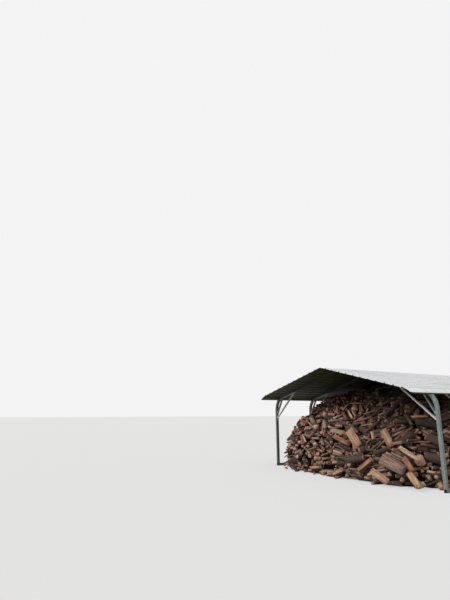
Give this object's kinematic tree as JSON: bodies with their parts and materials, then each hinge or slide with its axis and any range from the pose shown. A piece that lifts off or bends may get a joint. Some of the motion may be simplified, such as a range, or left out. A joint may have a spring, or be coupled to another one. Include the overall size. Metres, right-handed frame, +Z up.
{
  "type": "log store",
  "caption": "Open log store: galvanised tube bows with corner braces on ground rails, a ribbed sheet roof with rounded eaves, and a large heap of split firewood under it.",
  "frame": {"origin": "on the ground, in the middle of the roof's plan", "axes": "+Z up; +Y along the store from its front gable to its back; +X across it, to the right seen from the front"},
  "size_m": [5.4864, 6.4008, 2.5804],
  "materials": {
    "galvanised_tube": "dull galvanised, grey-green",
    "brace_channel": "dull galvanised, beige-grey",
    "roof_sheet": "weathered pale coating, dirty",
    "ridge_cap": "weathered pale coating",
    "stacked_wood": "weathered split faces, ends and bark",
    "loose_wood": "fresher split faces and bark"
  },
  "bodies": {
    "root": {"base_rail_left": "galvanised_tube", "base_rail_right": "galvanised_tube", "braces_left_1": "brace_channel", "braces_left_2": "brace_channel", "braces_left_3": "brace_channel", "braces_left_4": "brace_channel", "braces_left_5": "brace_channel", "braces_right_1": "brace_channel", "braces_right_2": "brace_channel", "braces_right_3": "brace_channel", "braces_right_4": "brace_channel", "braces_right_5": "brace_channel", "firewood_back": "stacked_wood", "firewood_front": "stacked_wood", "firewood_middle": "stacked_wood", "leg_left_1": "galvanised_tube", "leg_left_2": "galvanised_tube", "leg_left_3": "galvanised_tube", "leg_left_4": "galvanised_tube", "leg_left_5": "galvanised_tube", "leg_right_1": "galvanised_tube", "leg_right_2": "galvanised_tube", "leg_right_3": "galvanised_tube", "leg_right_4": "galvanised_tube", "leg_right_5": "galvanised_tube", "loose_splits_back": "loose_wood", "loose_splits_front": "loose_wood", "loose_splits_middle": "loose_wood", "ridge_cap_back": "ridge_cap", "ridge_cap_front": "ridge_cap", "roof_bow_left_1": "galvanised_tube", "roof_bow_left_2": "galvanised_tube", "roof_bow_left_3": "galvanised_tube", "roof_bow_left_4": "galvanised_tube", "roof_bow_left_5": "galvanised_tube", "roof_bow_right_1": "galvanised_tube", "roof_bow_right_2": "galvanised_tube", "roof_bow_right_3": "galvanised_tube", "roof_bow_right_4": "galvanised_tube", "roof_bow_right_5": "galvanised_tube", "roof_sheet_left_lower": "roof_sheet", "roof_sheet_left_middle": "roof_sheet", "roof_sheet_left_upper": "roof_sheet", "roof_sheet_right_lower": "roof_sheet", "roof_sheet_right_middle": "roof_sheet", "roof_sheet_right_upper": "roof_sheet"}
  },
  "joints": []
}
